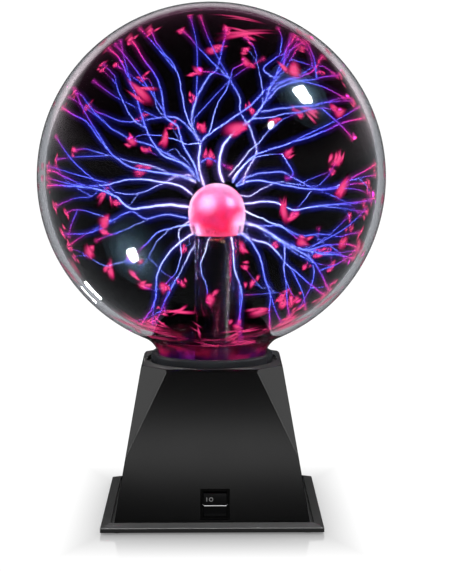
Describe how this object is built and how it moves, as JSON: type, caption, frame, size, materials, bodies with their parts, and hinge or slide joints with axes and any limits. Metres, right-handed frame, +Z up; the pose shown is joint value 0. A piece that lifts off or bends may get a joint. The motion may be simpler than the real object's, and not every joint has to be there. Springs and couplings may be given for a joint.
{
  "type": "plasma ball",
  "caption": "Desk plasma ball: a large clear gas-filled globe with a glowing central electrode on a black truncated-pyramid base with a front rocker switch.",
  "frame": {"origin": "under the middle of the base, on the surface that the rubber feet stand on", "axes": "+Z up along the globe and base; the front with the switch faces -Y; +X to the right seen from the front"},
  "size_m": [0.1998, 0.1998, 0.2937],
  "materials": {
    "housing_plastic": "satin-gloss black moulded plastic",
    "collar_plastic": "glossy dark grey moulded ring",
    "switch_plastic": "black moulded plastic",
    "glass": "clear polished glass",
    "electrode": "conductive coating glowing pink",
    "ribbed_plastic": "black ribbed insulator",
    "rubber": "matt black rubber",
    "silicone": "white silicone",
    "steel": "zinc-plated steel",
    "brass": "bright brass",
    "aluminium": "extruded aluminium",
    "board": "green solder mask",
    "ferrite": "dark grey sintered ferrite",
    "copper": "enamelled copper wire",
    "capacitor_sleeve": "dark blue shrink sleeve",
    "red_film": "red dipped film capacitor",
    "wire_red": "red PVC insulation",
    "wire_black": "black PVC insulation"
  },
  "bodies": {
    "base": {"plinth_plate": "housing_plastic", "base_housing": "housing_plastic", "collar_nut": "housing_plastic", "glass_globe": "glass", "glass_stem": "glass", "neck_collar": "collar_plastic", "neck_adhesive": "silicone", "electrode_bulb": "electrode", "ribbed_sleeve": "ribbed_plastic", "contact_rod": "brass", "contact_spring": "steel", "stem_plug": "rubber", "driver_board": "board", "coil_bobbin": "switch_plastic", "secondary_winding": "copper", "primary_winding": "copper", "ferrite_core_lower": "ferrite", "ferrite_core_upper": "ferrite", "heatsink": "aluminium", "power_transistor": "switch_plastic", "transistor_screw": "steel", "filter_capacitor": "capacitor_sleeve", "tuning_capacitor": "red_film", "switch_body": "switch_plastic", "switch_terminal_common": "brass", "switch_terminal_load": "brass", "dc_jack_body": "switch_plastic", "dc_jack_nut": "steel", "dc_jack_pin": "brass", "hv_lead": "silicone", "switch_lead_1": "wire_red", "switch_lead_2": "wire_black", "jack_lead_1": "wire_red", "jack_lead_2": "wire_black", "rubber_foot_1": "rubber", "plinth_screw_1": "steel", "board_screw_1": "steel", "rubber_foot_2": "rubber", "plinth_screw_2": "steel", "board_screw_2": "steel", "rubber_foot_3": "rubber", "plinth_screw_3": "steel", "board_screw_3": "steel", "rubber_foot_4": "rubber", "plinth_screw_4": "steel", "board_screw_4": "steel"},
    "rocker": {"switch_rocker": "switch_plastic", "switch_plunger": "brass", "plunger_spring": "steel"},
    "contact": {"switch_contact": "brass"},
    "jack_leaf": {"dc_jack_leaf": "steel"}
  },
  "joints": [
    {"name": "power_rocker", "type": "hinge", "parent": "base", "child": "rocker", "pos_m": [0.0016, -0.05067, 0.01433], "axis": [-1, 0, 0], "range_deg": [0, 20]},
    {"name": "contact_tilt", "type": "hinge", "parent": "base", "child": "contact", "pos_m": [0.0016, -0.04121, 0.0127], "axis": [1, 0, 0], "range_deg": [0, 16]},
    {"name": "inlet_leaf", "type": "hinge", "parent": "base", "child": "jack_leaf", "pos_m": [0, 0.03719, 0.02308], "axis": [1, 0, 0], "range_deg": [0, 2.5], "stiffness_Nm_per_rad": 0.05}
  ],
  "couplings": [
    {"joint": "contact_tilt", "follows": "power_rocker", "ratio": 0.8}
  ]
}
